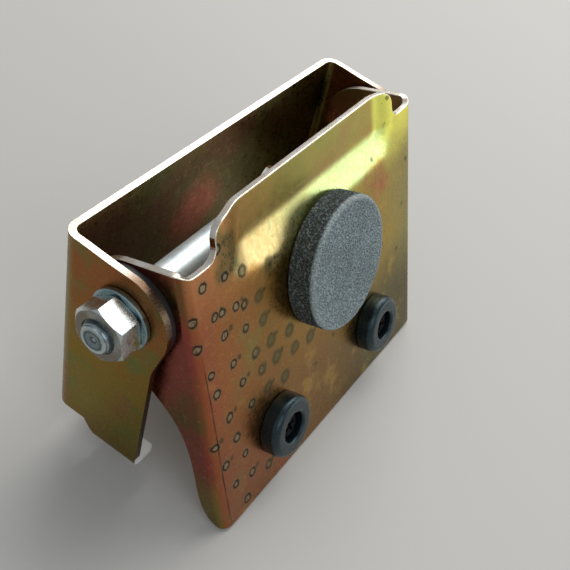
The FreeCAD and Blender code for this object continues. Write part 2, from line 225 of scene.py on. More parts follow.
def zinc_yellow_plate():
    n = Net("zinc_yellow_plate")
    pos = n.plate_pos()
    warp = n.vec("SCALE", n.vec("SUBTRACT", n.noise(55, 3, 0.55, pos, out=1), (0.5, 0.5, 0.5)), scale=0.016)
    wpos = n.vec("ADD", pos, warp)
    x, y, z = n.sep(wpos)
    # across the face: copper red, copper brown, olive gold
    col = n.ramp(n.band(x, -0.053, 0.053, smooth=False), [
        (0.0, lin(166, 90, 62)), (0.10, lin(168, 106, 60)), (0.26, lin(150, 110, 50)), (0.48, lin(168, 126, 54)),
        (0.70, lin(178, 142, 62)), (0.86, lin(176, 152, 72)), (1.0, lin(154, 146, 86))])
    # painted shade: darker towards the lower edge, strongest on the right
    lower_painted_shade = n.math("MULTIPLY", n.band(z, -0.024, -0.050), n.band(x, -0.040, 0.036, 0.30, 0.92))
    col = n.mix(lower_painted_shade, col, n.mix(n.band(x, -0.02, 0.04), lin(120, 82, 50), lin(88, 82, 42)))
    # greener towards the tab, and lighter there as a painted reflection of the sky
    up = n.band(z, -0.008, 0.010)
    tab_gold_and_sheen = n.ramp(n.band(x, -0.045, 0.045, smooth=False), [
        (0.0, lin(196, 132, 84)), (0.22, lin(214, 172, 98)), (0.42, lin(204, 216, 112)), (0.66, lin(208, 232, 120)), (0.9, lin(236, 236, 116)), (1.0, lin(242, 234, 104))])
    col = n.mix(up, col, tab_gold_and_sheen)
    # painted highlight: a pale band along the recess's slope, with mint patches in it
    slope_highlight = n.math("MULTIPLY", n.band(z, -0.0020, 0.0015), n.band(z, 0.0112, 0.0085))
    slope_highlight = n.math("MULTIPLY", slope_highlight, n.math("MULTIPLY", n.band(x, -0.036, -0.030), n.band(x, 0.040, 0.034)))
    pale = n.mix(n.band(x, -0.022, 0.012), lin(250, 226, 160), lin(222, 250, 172))
    col = n.mix(n.math("MULTIPLY", slope_highlight, 0.8), col, pale)
    mint = n.band(n.noise(150, 3, 0.6, n.vec("ADD", pos, (0.15, 0.35, 0.6))), 0.60, 0.70)
    col = n.mix(n.math("MULTIPLY", n.math("MULTIPLY", slope_highlight, mint), 0.55), col, lin(150, 236, 170))
    # pinkish lower left, brown below the pad
    low = n.math("MULTIPLY", n.band(z, -0.030, -0.062), n.band(x, 0.0, -0.04))
    col = n.mix(n.math("MULTIPLY", low, 0.45), col, lin(170, 104, 76))
    # interference patches
    patch = n.noise(48, 4, 0.6, n.vec("ADD", pos, (0.3, 0.1, 0.7)))
    calm = n.math("SUBTRACT", 1.0, n.math("MULTIPLY", slope_highlight, 0.75))
    col = n.mix(n.math("MULTIPLY", n.band(patch, 0.54, 0.74, 0, 0.62), calm), col, lin(122, 146, 76))
    patch2 = n.noise(36, 4, 0.6, n.vec("ADD", pos, (0.9, 0.4, 0.2)))
    col = n.mix(n.math("MULTIPLY", n.band(patch2, 0.56, 0.76, 0, 0.66), calm), col, lin(188, 92, 74))
    patch3 = n.noise(85, 3, 0.6, n.vec("ADD", pos, (0.5, 0.8, 0.1)))
    col = n.mix(n.band(patch3, 0.60, 0.75, 0, 0.4), col, lin(214, 176, 90))
    # painted shade with dark green mottling on the recess's left slope, which faces away from the light
    rx, rz = n.band(x, -0.0425, -0.0390), n.band(x, -0.0305, -0.0345)
    left_slope_shade = n.math("MULTIPLY", n.math("MULTIPLY", rx, rz), n.math("MULTIPLY", n.band(z, -0.001, 0.004), n.band(z, 0.0185, 0.014)))
    cells = n.voronoi(950, pos)
    col = n.mix(n.math("MULTIPLY", left_slope_shade, n.band(cells, 0.12, 0.5, 0.98, 0.62)), col, lin(62, 80, 44))
    # red-brown flanges
    fx = n.math("ABSOLUTE", n.sep(pos)[0])
    fl = n.math("MULTIPLY", n.band(fx, 0.0490, 0.0512), n.band(n.sep(pos)[1], -0.0157, -0.0146))
    flc = n.ramp(n.band(n.noise(40, 4, 0.6, pos), 0.3, 0.7), [
        (0.0, lin(128, 62, 52)), (0.45, lin(150, 76, 66)), (0.75, lin(138, 82, 58)), (1.0, lin(112, 92, 52))])
    flc = n.mix(n.band(z, -0.042, -0.062), flc, lin(130, 114, 60))
    col = n.mix(fl, col, flc)
    # back of the sheet: darker olive
    back = n.band(n.sep(pos)[1], -0.0140, -0.0134)
    inner = n.math("MULTIPLY", back, n.band(fx, 0.0504, 0.0498))
    bkc = n.ramp(n.band(n.noise(45, 4, 0.6, pos), 0.3, 0.7), [
        (0.0, lin(126, 112, 58)), (0.5, lin(150, 120, 66)), (1.0, lin(156, 98, 68))])
    col = n.mix(inner, col, bkc)
    # grain and dust
    h, fine, mid, broad = grain(n, pos)
    col = n.mix(n.band(fine, 0.3, 0.75, 0.0, 0.22), col, lin(92, 60, 40))
    col = n.mix(n.band(mid, 0.58, 0.72, 0.0, 0.14), col, lin(226, 190, 110))
    specks = n.voronoi(420, n.vec("ADD", pos, (0.02, 0.0, 0.01)))
    col = n.mix(n.band(specks, 0.085, 0.05, 0, 0.65), col, lin(52, 46, 36))
    # ring marks, on the outer face only
    jit = n.vec("SCALE", n.vec("SUBTRACT", n.noise(700, 2, 0.5, pos, out=1), (0.5, 0.5, 0.5)), scale=0.0011)
    jx, jy, jz = n.sep(n.vec("ADD", pos, jit))
    flat = n.comb(jx, 0.0, jz)
    near = None
    for cx, cz in RINGS:
        d = n.vec("DISTANCE", flat, (cx * MM, 0, cz * MM), out=1)
        near = d if near is None else n.math("MINIMUM", near, d)
    face = n.band(n.sep(pos)[1], -0.0146, -0.0154)
    near = n.math("ADD", near, n.math("MULTIPLY", n.math("SUBTRACT", n.noise(160, 2, 0.5, pos), 0.44), 0.0011))
    near = n.math("MULTIPLY", near, n.band(n.sep(pos)[0], -0.037, -0.024, 0.86, 0.68))
    haze = n.band(n.sep(pos)[0], -0.037, -0.026)
    ring = n.math("MULTIPLY", n.band(near, 0.00055, 0.00088), n.band(near, n.band(haze, 0, 1, 0.00142, 0.00190), 0.00104))
    core = n.band(near, 0.00092, 0.00060)
    halo = n.band(near, 0.0025, 0.0012)
    col = n.mix(n.math("MULTIPLY", n.math("MULTIPLY", halo, face), 0.28), col, lin(132, 120, 84))
    corec = n.mix(haze, lin(150, 140, 112), lin(96, 98, 58))
    corec = n.mix(n.band(n.noise(1500, 2, 0.6, pos), 0.52, 0.62, 0, 0.7), corec, lin(60, 58, 46))
    col = n.mix(n.math("MULTIPLY", n.math("MULTIPLY", core, face), 0.8), col, corec)
    ring_f = n.math("MULTIPLY", n.math("MULTIPLY", ring, face), n.band(haze, 0, 1, 0.92, 0.62))
    col = n.mix(ring_f, col, n.mix(haze, lin(42, 40, 36), lin(66, 62, 34)))
    # side specks of each ring
    off = n.comb(n.math("ADD", jx, -0.0024), 0.0, n.math("ADD", jz, -0.0006))
    near2 = None
    for cx, cz in RINGS[::2] + SPOTS:
        d = n.vec("DISTANCE", off, (cx * MM, 0, cz * MM), out=1)
        near2 = d if near2 is None else n.math("MINIMUM", near2, d)
    near2 = n.math("ADD", near2, n.math("MULTIPLY", n.math("SUBTRACT", n.noise(240, 2, 0.5, pos), 0.5), 0.0012))
    dot = n.math("MULTIPLY", n.band(near2, 0.00105, 0.00035), face)
    col = n.mix(n.math("MULTIPLY", dot, 0.7), col, lin(58, 62, 36))
    # painted shade: a dark wavy line along the crease of the left bend
    px, pz = n.sep(pos)[0], n.sep(pos)[2]
    wave = n.math("MULTIPLY", n.math("SUBTRACT", n.noise(90, 1, 0.5, pos), 0.5), 0.0007)
    lx = n.math("ABSOLUTE", n.math("ADD", n.math("ADD", px, wave), n.math("ADD", 0.0502, n.math("MULTIPLY", pz, 0.012))))
    crease_shade = n.math("MULTIPLY", n.band(lx, 0.00030, 0.00010), n.math("MULTIPLY", n.band(pz, -0.006, -0.024), face))
    crease_shade = n.math("MULTIPLY", crease_shade, n.band(n.noise(160, 2, 0.5, pos), 0.3, 0.55, 0.45, 0.95))
    col = n.mix(crease_shade, col, lin(48, 34, 26))
    rough = n.math("ADD", n.band(mid, 0.3, 0.7, 0.25, 0.36), n.math("MULTIPLY", ring_f, 0.25))
    rough = n.math("ADD", rough, n.math("MULTIPLY", n.band(z, 0.002, 0.010), 0.08))
    hh = n.math("SUBTRACT", h, n.math("MULTIPLY", ring_f, 0.6))
    b1 = n.bump(broad, 0.35, 0.0012)
    b2 = n.bump(hh, 0.16, 0.00012, b1)
    return n.set(Base_Color=col, Metallic=1.0, Roughness=rough, Normal=b2)


def zinc_yellow_bracket():
    n = Net("zinc_yellow_bracket")
    pos = n.vec("ADD", n.pos, (0, 0.019, 0))
    warp = n.vec("SCALE", n.vec("SUBTRACT", n.noise(50, 3, 0.55, pos, out=1), (0.5, 0.5, 0.5)), scale=0.018)
    x, y, z = n.sep(n.vec("ADD", pos, warp))
    # ears: red brown round the bolt, olive gold below
    col = n.ramp(n.band(z, -0.052, 0.014, smooth=False), [
        (0.0, lin(132, 102, 38)), (0.22, lin(138, 120, 40)), (0.42, lin(142, 118, 34)), (0.62, lin(150, 106, 30)),
        (0.78, lin(152, 92, 40)), (1.0, lin(154, 92, 50))])
    patch = n.noise(60, 4, 0.6, n.vec("ADD", pos, (0.2, 0.5, 0.3)))
    col = n.mix(n.band(patch, 0.50, 0.68, 0, 0.72), col, lin(98, 122, 62))
    patch2 = n.noise(42, 4, 0.6, n.vec("ADD", pos, (0.7, 0.1, 0.9)))
    col = n.mix(n.band(patch2, 0.55, 0.75, 0, 0.6), col, lin(152, 88, 60))
    # wall: olive with green brown clouds, and a painted red reflection on its inner face
    wall = n.band(n.sep(pos)[1], 0.0140, 0.0164)
    wc = n.ramp(n.band(n.noise(38, 4, 0.6, pos), 0.3, 0.7), [
        (0.0, lin(120, 114, 56)), (0.4, lin(136, 122, 62)), (0.7, lin(142, 112, 62)), (1.0, lin(146, 98, 60))])
    red_reflection_dist = n.vec("DISTANCE", n.comb(x, 0.0, z), (-0.008, 0.0, -0.009), out=1)
    facing_in = n.band(n.sep(pos)[1], 0.0184, 0.0178)
    wc = n.mix(n.math("MULTIPLY", facing_in, n.band(red_reflection_dist, 0.014, 0.003, 0, 0.9)), wc, lin(214, 116, 84))
    col = n.mix(wall, col, wc)
    h, fine, mid, broad = grain(n, pos)
    col = n.mix(n.band(fine, 0.3, 0.75, 0.0, 0.22), col, lin(70, 56, 30))
    col = n.mix(n.band(mid, 0.58, 0.72, 0.0, 0.10), col, lin(196, 168, 84))
    specks = n.voronoi(330, n.vec("ADD", pos, (0.02, 0.0, 0.01)))
    col = n.mix(n.band(specks, 0.08, 0.045, 0, 0.6), col, lin(46, 44, 30))
    rough = n.band(mid, 0.3, 0.7, 0.25, 0.37)
    b1 = n.bump(broad, 0.35, 0.0012)
    b2 = n.bump(h, 0.16, 0.00012, b1)
    return n.set(Base_Color=col, Metallic=1.0, Roughness=rough, Normal=b2)


def cut_edge(name, c0, c1, r0, r1):
    """Sheared edge of the sheet: fine lines along the cut, thinner plating."""
    n = Net(name)
    pos = n.pos
    k = n.noise(260, 3, 0.6, pos)
    f = n.noise(2600, 2, 0.6, pos)
    col = n.ramp(n.band(k, 0.3, 0.7), [(0.0, c0), (1.0, c1)])
    col = n.mix(n.band(f, 0.35, 0.7, 0, 0.3), col, lin(120, 92, 60))
    # browner round the front of the ears
    x, y, z = n.sep(pos)
    ear = n.math("MULTIPLY", n.band(n.math("ABSOLUTE", x), 0.0535, 0.0542), n.band(y, -0.0130, -0.0225))
    col = n.mix(n.math("MULTIPLY", ear, n.band(f, 0.35, 0.65, 0.97, 0.84)), col, lin(84, 58, 34))
    b = n.bump(f, 0.3, 0.00012)
    return n.set(Base_Color=col, Metallic=1.0, Roughness=n.band(f, 0.3, 0.7, r0, r1), Normal=b)


def foot_painted_highlight():
    """Near-white top face of the bent lips: a painted highlight."""
    n = Net("foot_painted_highlight")
    f = n.noise(1800, 3, 0.6)
    col = n.mix(n.band(f, 0.55, 0.75, 0, 0.25), (0.96, 0.955, 0.93, 1), (0.80, 0.78, 0.72, 1))
    return n.set(Base_Color=col, Metallic=0.0, Roughness=n.band(f, 0.3, 0.7, 0.35, 0.5), Normal=n.bump(f, 0.1, 0.0001))


def zinc_bright(name, c0, c1, r0, r1, dirt=0.35, glint=0.25, end=None):
    """Clear zinc.  The nut's and the bolt's end faces are duller, with turning marks."""
    n = Net(name)
    k = n.noise(150, 4, 0.6)
    f = n.noise(3200, 2, 0.6)
    m = n.noise(620, 3, 0.6)
    col = n.ramp(n.band(k, 0.3, 0.7), [(0.0, c0), (1.0, c1)])
    col = n.mix(n.band(m, 0.52, 0.72, 0, dirt), col, lin(112, 116, 112))
    col = n.mix(n.band(f, 0.45, 0.75, 0, glint), col, lin(236, 240, 240))
    sc = n.voronoi(700)
    col = n.mix(n.band(sc, 0.09, 0.05, 0, 0.5), col, lin(70, 70, 64))
    b = n.bump(n.math("ADD", n.math("MULTIPLY", f, 0.4), m), 0.14, 0.00012)
    if end:
        x, y, z = n.sep(n.vec("ADD", n.pos, n.vec("SCALE", n.vec("SUBTRACT", n.noise(500, 3, 0.6, out=1), (0.5, 0.5, 0.5)), scale=0.0007)))
        r = n.math("SQRT", n.math("ADD", n.math("POWER", n.math("ADD", y, 0.019), 2.0), n.math("POWER", z, 2.0)))
        if end == "nut":
            m_end = n.math("MULTIPLY", n.band(n.sep(n.pos)[0], -0.06395, -0.06410), n.band(r, 0.0072, 0.0064))
            col = n.mix(n.math("MULTIPLY", m_end, n.band(k, 0.3, 0.6, 0.6, 0.9)), col, lin(112, 100, 84))
            ringk = n.math("MULTIPLY", n.band(r, 0.0038, 0.0041), n.band(r, 0.0048, 0.0044))
            col = n.mix(n.math("MULTIPLY", m_end, ringk), col, lin(58, 60, 60))
        else:
            m_end = n.band(n.sep(n.pos)[0], -0.06530, -0.06550)
            rim = n.math("MULTIPLY", n.band(r, 0.0025, 0.0029), n.band(r, 0.0037, 0.0034))
            col = n.mix(n.math("MULTIPLY", m_end, n.band(r, 0.0030, 0.0026, 0, 0.55)), col, lin(84, 102, 104))
            col = n.mix(n.math("MULTIPLY", m_end, n.band(r, 0.0011, 0.0006, 0, 0.85)), col, lin(34, 40, 42))
            col = n.mix(n.math("MULTIPLY", m_end, n.math("MULTIPLY", rim, 0.7)), col, lin(200, 212, 212))
            dark = n.math("MULTIPLY", n.band(r, 0.0019, 0.0022), n.band(r, 0.0027, 0.0024))
            col = n.mix(n.math("MULTIPLY", m_end, n.math("MULTIPLY", dark, 0.6)), col, lin(52, 62, 64))
            b = n.bump(n.math("MULTIPLY", m_end, n.band(r, 0.0036, 0.0024, 1.0, 0.0)), 0.5, 0.0005, b)
    return n.set(Base_Color=col, Metallic=1.0, Roughness=n.band(m, 0.3, 0.7, r0, r1), Normal=b)


def nylon():
    n = Net("black_nylon")
    k = n.noise(400, 3, 0.6)
    f = n.noise(3000, 2, 0.6)
    col = n.ramp(n.band(k, 0.3, 0.7), [(0.0, (0.010, 0.010, 0.011, 1)), (1.0, (0.022, 0.022, 0.025, 1))])
    col = n.mix(n.band(f, 0.6, 0.8, 0, 0.3), col, (0.06, 0.06, 0.062, 1))
    return n.set(Base_Color=col, Metallic=0.0, Roughness=n.band(k, 0.3, 0.7, 0.42, 0.6), Normal=n.bump(f, 0.2, 0.0001))


def rubber():
    n = Net("black_rubber")
    k = n.noise(220, 4, 0.6)
    f = n.noise(2600, 3, 0.65)
    dust = n.noise(900, 4, 0.7)
    col = n.ramp(n.band(k, 0.3, 0.7), [(0.0, (0.0022, 0.0042, 0.0056, 1)), (1.0, (0.005, 0.010, 0.013, 1))])
    col = n.mix(n.band(dust, 0.60, 0.80, 0, 0.20), col, (0.035, 0.055, 0.064, 1))
    sc = n.voronoi(800)
    col = n.mix(n.band(sc, 0.08, 0.045, 0, 0.4), col, (0.16, 0.16, 0.15, 1))
    rough = n.band(dust, 0.35, 0.7, 0.26, 0.40)
    b1 = n.bump(k, 0.3, 0.0006)
    n.set(Specular_IOR_Level=0.62, Specular_Tint=(0.62, 0.90, 0.98, 1.0))
    return n.set(Base_Color=col, Metallic=0.0, Roughness=rough, Normal=n.bump(f, 0.3, 0.00012, b1))


def foam():
    n = Net("grey_foam")
    pos = n.plate_pos()
    cell = n.voronoi(2300, pos)
    cell2 = n.voronoi(4200, n.vec("ADD", pos, (0.1, 0.2, 0.3)))
    k = n.noise(110, 4, 0.6, pos)
    f = n.noise(3600, 3, 0.75, pos)
    base = n.ramp(n.band(cell, 0.05, 0.75, smooth=False), [
        (0.0, (0.045, 0.056, 0.057, 1)), (0.30, (0.115, 0.142, 0.146, 1)), (0.7, (0.215, 0.262, 0.270, 1)), (1.0, (0.36, 0.42, 0.43, 1))])
    base = n.mix(n.band(cell2, 0.05, 0.4, 0.35, 0.0), base, (0.05, 0.055, 0.053, 1))
    base = n.mix(n.band(f, 0.56, 0.70, 0, 0.65), base, (0.46, 0.51, 0.52, 1))
    base = n.mix(n.band(k, 0.42, 0.65, 0, 0.3), base, (0.12, 0.135, 0.13, 1))
    # painted shade: the cut side is painted darker than the face
    x, y, z = n.sep(pos)
    side = n.band(y, -0.0231, -0.0222)
    base = n.mix(n.math("MULTIPLY", side, n.band(n.noise(1500, 3, 0.7, pos), 0.44, 0.64, 0.90, 0.42)), base, (0.020, 0.021, 0.016, 1))
    # painted highlight: a lighter, fuzzy ring where the face rounds into the rim
    rad = n.math("SQRT", n.math("ADD", n.math("POWER", n.math("ADD", x, -0.0023), 2.0), n.math("POWER", n.math("ADD", z, 0.0133), 2.0)))
    rim = n.math("MULTIPLY", n.band(rad, 0.0164, 0.0178), n.band(y, -0.0222, -0.0230))
    base = n.mix(n.math("MULTIPLY", rim, n.band(f, 0.4, 0.6, 0.08, 0.42)), base, (0.54, 0.60, 0.58, 1))
    h = n.math("ADD", cell, n.math("MULTIPLY", f, 0.6))
    n.set(Specular_IOR_Level=0.2)
    return n.set(Base_Color=base, Metallic=0.0, Roughness=n.band(f, 0.3, 0.7, 0.85, 1.0), Normal=n.bump(h, 0.7, 0.0002))


def tape():
    n = Net("adhesive_tape")
    k = n.noise(500, 3, 0.6)
    col = n.ramp(n.band(k, 0.3, 0.7), [(0.0, (0.03, 0.03, 0.028, 1)), (1.0, (0.07, 0.068, 0.06, 1))])
    return n.set(Base_Color=col, Metallic=0.0, Roughness=n.band(k, 0.3, 0.7, 0.5, 0.7), Normal=n.bump(k, 0.3, 0.0001))


def floor_mat():
    n = Net("studio_floor")
    k = n.noise(3, 3, 0.5)
    col = n.mix(n.band(k, 0.3, 0.7), (0.50, 0.485, 0.46, 1), (0.53, 0.515, 0.49, 1))
    return n.set(Base_Color=col, Metallic=0.0, Roughness=n.band(k, 0.3, 0.7, 0.6, 0.7), Normal=n.bump(n.noise(900, 2), 0.05, 0.0002))


M_PLATE = zinc_yellow_plate()
M_BRACKET = zinc_yellow_bracket()
# painted light: the pale and the brown cut-edge materials are lit and shaded copies of one finish, chosen by which way
# an edge faces
M_EDGE_LIT = cut_edge("cut_edge", lin(222, 208, 190), lin(240, 234, 226), 0.24, 0.38)
M_FOOT = foot_painted_highlight()
M_EDGE_SHADED = cut_edge("cut_edge_shaded", lin(112, 78, 44), lin(140, 106, 64), 0.24, 0.38)
M_ARRIS = cut_edge("worn_arris", lin(238, 226, 200), lin(250, 246, 232), 0.16, 0.26)
M_OXIDE = zinc_bright("black_oxide", (0.005, 0.005, 0.006, 1), (0.014, 0.014, 0.015, 1), 0.45, 0.62, 0.0, 0.008)
M_NUT = zinc_bright("nut_zinc", lin(196, 206, 206), lin(222, 228, 226), 0.20, 0.34, 0.35, 0.25, "nut")
M_BOLT = zinc_bright("bolt_zinc", lin(128, 144, 150), lin(160, 174, 178), 0.26, 0.42, 0.55, 0.25, "bolt")
M_WASHER = zinc_bright("washer_zinc", lin(118, 144, 150), lin(150, 172, 174), 0.24, 0.38)
M_TUBE = zinc_bright("tube_zinc", lin(226, 240, 246), lin(246, 252, 252), 0.36, 0.50, 0.12)
M_TUBE.node_tree.nodes["Principled BSDF"].inputs["Metallic"].default_value = 0.7
M_NYLON = nylon()
M_RUBBER = rubber()
M_FOAM = foam()
M_TAPE = tape()


# ------------------------------------------------------- CAD nodes: finish
def assign(node, mats):
    o = NODES[node]
    o.data.materials.clear()
    for m in mats:
        o.data.materials.append(m)
    for p in o.data.polygons:
        p.material_index = 0
    return o


def drop_normals(o):
    a = o.data.attributes.get("custom_normal")
    if a:
        o.data.attributes.remove(a)


def soften(o, width, angle=32, segments=2, material=-1):
    """Small rounding of the real edges, with weighted normals for clean shading."""
    drop_normals(o)
    for p in o.data.polygons:
        p.use_smooth = True
    w = o.modifiers.new("weld", "WELD")
    w.merge_threshold = 2e-6
    b = o.modifiers.new("edges", "BEVEL")
    b.width = width
    b.segments = segments
    b.limit_method = "ANGLE"
    b.angle_limit = math.radians(angle)
    b.use_clamp_overlap = True
    b.miter_outer = "MITER_ARC"
    b.material = material
    n = o.modifiers.new("normals", "WEIGHTED_NORMAL")
    n.mode = "FACE_AREA"
    n.weight = 80
    n.keep_sharp = False
    return o


# ------------------------------------------------------------ sheet metal
T = 1.8
EAR_OUT, REAR_Y, RB = 56.1, 19.0, 4.0
PX, PY, PB = 52.5, -16.0, 3.0
FLOOR_Z = min(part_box("rear_bracket")[0].z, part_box("front_plate")[0].z) * 1000


def turn(cx, cy, r, a0, a1, n):
    """Points of an arc; angles in degrees."""
    return [(cx + r * math.cos(math.radians(a0 + (a1 - a0) * i / n)),
             cy + r * math.sin(math.radians(a0 + (a1 - a0) * i / n))) for i in range(n + 1)]


def chaikin(pts, times):
    """Rounds an open line's corners and keeps its ends."""
    for _ in range(times):
        out = [pts[0]]
        for a, b in zip(pts, pts[1:]):
            out.append((a[0] * 0.75 + b[0] * 0.25, a[1] * 0.75 + b[1] * 0.25))
            out.append((a[0] * 0.25 + b[0] * 0.75, a[1] * 0.25 + b[1] * 0.75))
        out.append(pts[-1])
        pts = out
    return pts


def closed(half, step=0.9):
    """Mirrors a right half outline (top middle to bottom middle) and spaces its points."""
    loop = half + [(-x, y) for x, y in reversed(half)]
    clean = [loop[0]]
    for q in loop[1:]:
        if math.dist(q, clean[-1]) > 0.02:
            clean.append(q)
    if math.dist(clean[0], clean[-1]) < 0.02:
        clean.pop()
    out = []
    for a, b in zip(clean, clean[1:] + clean[:1]):
        n = max(1, round(math.dist(a, b) / step))
        out += [(a[0] + (b[0] - a[0]) * i / n, a[1] + (b[1] - a[1]) * i / n) for i in range(n)]
    return out


def inside(pt, poly):
    x, y = pt
    hit = False
    for (x0, y0), (x1, y1) in zip(poly, poly[1:] + poly[:1]):
        if (y0 > y) != (y1 > y) and x < (x1 - x0) * (y - y0) / (y1 - y0) + x0:
            hit = not hit
    return hit


def lines(*spans):
    """Grid lines: (from, to, step) spans joined end to end."""
    out = []
    for a, b, st in spans:
        n = max(1, round(abs(b - a) / st))
        out += [a + (b - a) * i / n for i in range(n)]
    return out + [spans[-1][1]]


def sheet_part(name, outline, holes, us, vs, surface, flip, mats, paint, to_row, bevel):
    """A bent sheet: the outline is triangulated flat, laid on the surface and given its thickness."""
    loops = [outline] + holes
    pts = [q for lp in loops for q in lp]
    edges, base = [], 0
    for lp in loops:
        edges += [(base + i, base + (i + 1) % len(lp)) for i in range(len(lp))]
        base += len(lp)
    cell = {}
    for q in pts:
        cell.setdefault((math.floor(q[0]), math.floor(q[1])), []).append(q)

    def clear(q, d=0.42):
        cx, cy = math.floor(q[0]), math.floor(q[1])
        return all(math.dist(q, w) > d for i in (-1, 0, 1) for j in (-1, 0, 1) for w in cell.get((cx + i, cy + j), ()))
    for u in us:
        for v in vs:
            q = (u, v)
            if inside(q, outline) and clear(q) and not any(inside(q, h) for h in holes):
                pts.append(q)
    vo, eo, fo, *_ = delaunay_2d_cdt([Vector(q) for q in pts], edges, [], 1, 1e-6)
    tris = []
    for f in fo:
        c = (sum(vo[i][0] for i in f) / len(f), sum(vo[i][1] for i in f) / len(f))
        if inside(c, outline) and not any(inside(c, h) for h in holes):
            tris.append(tuple(f))
    used = {}
    for f in tris:
        for i in range(len(f)):
            e = (f[i], f[(i + 1) % len(f)])
            used[e] = used.get(e, 0) + 1
    rim = [e for e in used if (e[1], e[0]) not in used]
    outer, inner = [], []
    for q in vo:
        u, v = q[0], q[1]
        h = 0.01
        p0 = Vector(surface(u, v))
        du = Vector(surface(u + h, v)) - Vector(surface(u - h, v))
        dv = Vector(surface(u, v + h)) - Vector(surface(u, v - h))
        n = du.cross(dv).normalized() * (-1 if flip else 1)
        outer.append(p0)
        inner.append(p0 - n * T)
    bm = bmesh.new()
    A = [bm.verts.new(to_row @ (q * MM)) for q in outer]
    B = [bm.verts.new(to_row @ (q * MM)) for q in inner]
    tag = bm.faces.layers.int.new("side")
    for f in tris:
        a = bm.faces.new([A[i] for i in (reversed(f) if flip else f)])
        b = bm.faces.new([B[i] for i in (f if flip else reversed(f))])
        a[tag], b[tag] = 0, 1
    for i, j in rim:
        q = (A[j], A[i], B[i], B[j])
        w = bm.faces.new(q[::-1] if flip else q)
        w[tag] = 2
    bmesh.ops.delete(bm, geom=[v for v in bm.verts if not v.link_faces], context="VERTS")
    bm.normal_update()
    for f in bm.faces:
        f.smooth = True
        f.material_index = paint(f[tag], f.calc_center_median(), f.normal)
    me = bpy.data.meshes.new(name)
    bm.to_mesh(me)
    bm.free()
    o = bpy.data.objects.new(name, me)
    bpy.context.scene.collection.objects.link(o)
    for m in mats:
        me.materials.append(m)
    b = o.modifiers.new("edges", "BEVEL")
    b.width = bevel
    b.segments = 3
    b.limit_method = "ANGLE"
    b.angle_limit = math.radians(50)
    b.material = len(mats) - 1
    n = o.modifiers.new("normals", "WEIGHTED_NORMAL")
    n.mode = "FACE_AREA"
    n.weight = 70
    return o


def step01(t):
    t = min(1.0, max(0.0, t))
    return t * t * (3 - 2 * t)


def ease(t, b=0.2):
    """A straight ramp with rounded ends."""
    t = min(1.0, max(0.0, t))
    if t < b:
        return t * t / (2 * b * (1 - b))
    if t > 1 - b:
        return 1 - (1 - t) ** 2 / (2 * b * (1 - b))
    return (t - b / 2) / (1 - b)


def plate_depth(x, z):
    """Depth of the drawn recess in the tab."""
    return 2.4 * step01((x + 38.0) / 10.6) * step01((41.0 - x) / 9.0) * ease((z + 0.9) / 10.6)


def plate_surface(u, v):
    s, a = (1 if u >= 0 else -1), abs(u)
    w = PX - PB
    if a <= w:
        return (u, PY + plate_depth(u, v), v)
    t = (a - w) / PB
    if t <= math.pi / 2:
        return (s * (w + PB * math.sin(t)), PY + PB * (1 - math.cos(t)), v)
    return (s * PX, PY + PB + (a - w - PB * math.pi / 2), v)


def fu(y):
    """Unfolded coordinate of a flange point."""
    return PX - PB + PB * math.pi / 2 + (y - PY - PB)


def make_plate():
    tab_x, tab_z, rt, rc, nz, ft, low = 40.4, 18.9, 4.4, 3.4, 10.6, 12.6, -66.5
    half = [(0, tab_z), (28.0, tab_z)] + turn(tab_x - rt, tab_z - rt, rt, 90, 0, 12)
    half += turn(tab_x + rc, nz + rc, rc, 180, 270, 10)
    half += chaikin([(tab_x + rc, nz), (48.2, nz), (50.4, nz + 0.5), (52.2, ft - 0.4), (54.4, ft), (fu(-9), ft)], 2)
    half += turn(fu(0), 0, ft, 90, 0, 26)
    lower = [(12.6, 0), (12.6, -7.0), (9.4, -13.2), (0.2, -24.0), (-3.7, -28.6), (-6.9, -34.4), (-8.5, -41.5), (-8.8, -49.0),
             (-8.8, -55.0), (-9.4, -59.8), (-11.2, -63.4), (-13.4, -65.2)]
    half += chaikin([(fu(y), z) for y, z in lower] + [(52.0, -65.9), (49.0, -66.4), (46.0, low)], 3)
    half += [(0, low)]
    holes = [[(s * fu(0) + 6.0 * math.cos(a), 6.0 * math.sin(a)) for a in [2 * math.pi * k / 48 for k in range(48)]] for s in (-1, 1)]
    holes += [[(s * 25.1 + 2.2 * math.cos(a), -49.6 + 2.2 * math.sin(a)) for a in [2 * math.pi * k / 20 for k in range(20)]] for s in (-1, 1)]
    w, e = PX - PB, PX - PB + PB * math.pi / 2
    side = lines((w, e, 0.55), (e, 80.5, 1.7))
    us = [-q for q in reversed(side)] + lines((-w, -38.5, 1.5), (-38.5, -27.0, 0.8), (-27.0, 31.5, 1.6), (31.5, 41.5, 0.8), (41.5, w, 1.5))[1:-1] + side
    vs = lines((-66.5, -2.0, 1.7), (-2.0, 9.5, 0.75), (9.5, 19.0, 1.3))

    def paint(tag, c, n):
        if tag < 2:
            return 0
        nn = TO_PLATE.to_3x3() @ n
        # painted light: cut edges facing up get the lit copy, the others the shaded copy
        return 1 if nn.z > 0.2 else 2
    o = sheet_part("front_plate_sheet", closed(half), holes, us, vs, plate_surface, False,
                   [M_PLATE, M_EDGE_LIT, M_EDGE_SHADED, M_ARRIS], paint, TO_ROW, 0.00022)
    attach(o, "plate")
    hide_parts("front_plate")
    return o


LB = 2.2


